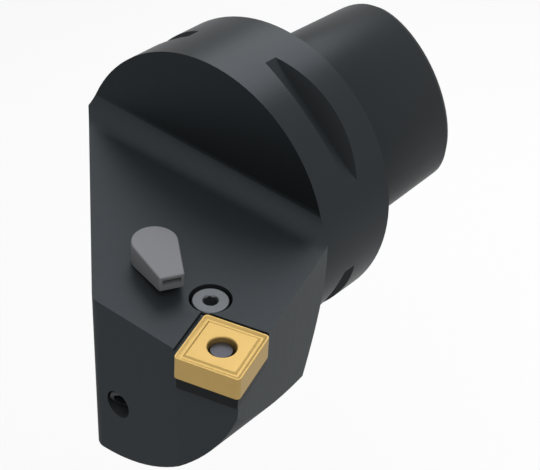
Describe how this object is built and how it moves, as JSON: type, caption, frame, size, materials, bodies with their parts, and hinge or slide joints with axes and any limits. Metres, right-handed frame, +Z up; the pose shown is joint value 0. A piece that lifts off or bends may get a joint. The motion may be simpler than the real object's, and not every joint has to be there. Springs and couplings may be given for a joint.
{
  "type": "turning tool holder",
  "caption": "Turning tool holder: three-lobed tapered shank, gripper flange and offset head with a lever-clamped square insert, its shim and a swivelling coolant nozzle.",
  "frame": {"origin": "centre of the flange's contact face, on the axis of the shank and inside the drawbar thread", "axes": "+X along the axis to the cutting head, +Y to the cutting corner's side, +Z up, square to both"},
  "size_m": [0.1052, 0.0765, 0.063],
  "materials": {
    "blackened_steel": "black oxide on a fine milled surface, satin",
    "gold_coated_carbide": "satin gold nitride coating on ground carbide",
    "bare_carbide": "ground, dull",
    "spring_steel": "bright rolled",
    "hardened_steel": "turned and hardened, dull grey",
    "screw_steel": "plain turned steel, satin",
    "dark_screw_steel": "black oxide",
    "sintered_steel": "matte grey, fine grain",
    "black_rubber": "smooth"
  },
  "bodies": {
    "holder": {"holder_body": "blackened_steel", "shim": "bare_carbide", "shim_sleeve": "spring_steel", "nozzle_lock_screw": "dark_screw_steel", "channel_plug": "dark_screw_steel"},
    "lever_screw": {"lever_screw": "screw_steel"},
    "clamp_lever": {"clamp_lever": "hardened_steel"},
    "insert": {"insert": "gold_coated_carbide"},
    "coolant_nozzle": {"coolant_nozzle": "sintered_steel", "nozzle_seal": "black_rubber"}
  },
  "joints": [
    {"name": "screw_release", "type": "slide", "parent": "holder", "child": "lever_screw", "axis": [0.0698, 0.1216, 0.9901], "range_m": [0, 0.0007]},
    {"name": "lever_tilt", "type": "hinge", "parent": "holder", "child": "clamp_lever", "pos_m": [0.05865, 0.03586, -0.01202], "axis": [-0.7563, 0.6537, -0.027], "range_deg": [0, 3.7]},
    {"name": "insert_lift", "type": "slide", "parent": "holder", "child": "insert", "axis": [0.0698, 0.1216, 0.9901], "range_m": [0, 0.01]},
    {"name": "nozzle_swivel", "type": "hinge", "parent": "holder", "child": "coolant_nozzle", "pos_m": [0.04982, 0.01296, 0.00415], "axis": [0.0698, 0.1216, 0.9901], "range_deg": [-30, 30]}
  ],
  "couplings": [
    {"joint": "lever_tilt", "follows": "screw_release", "rad_per_m": 90.703}
  ]
}
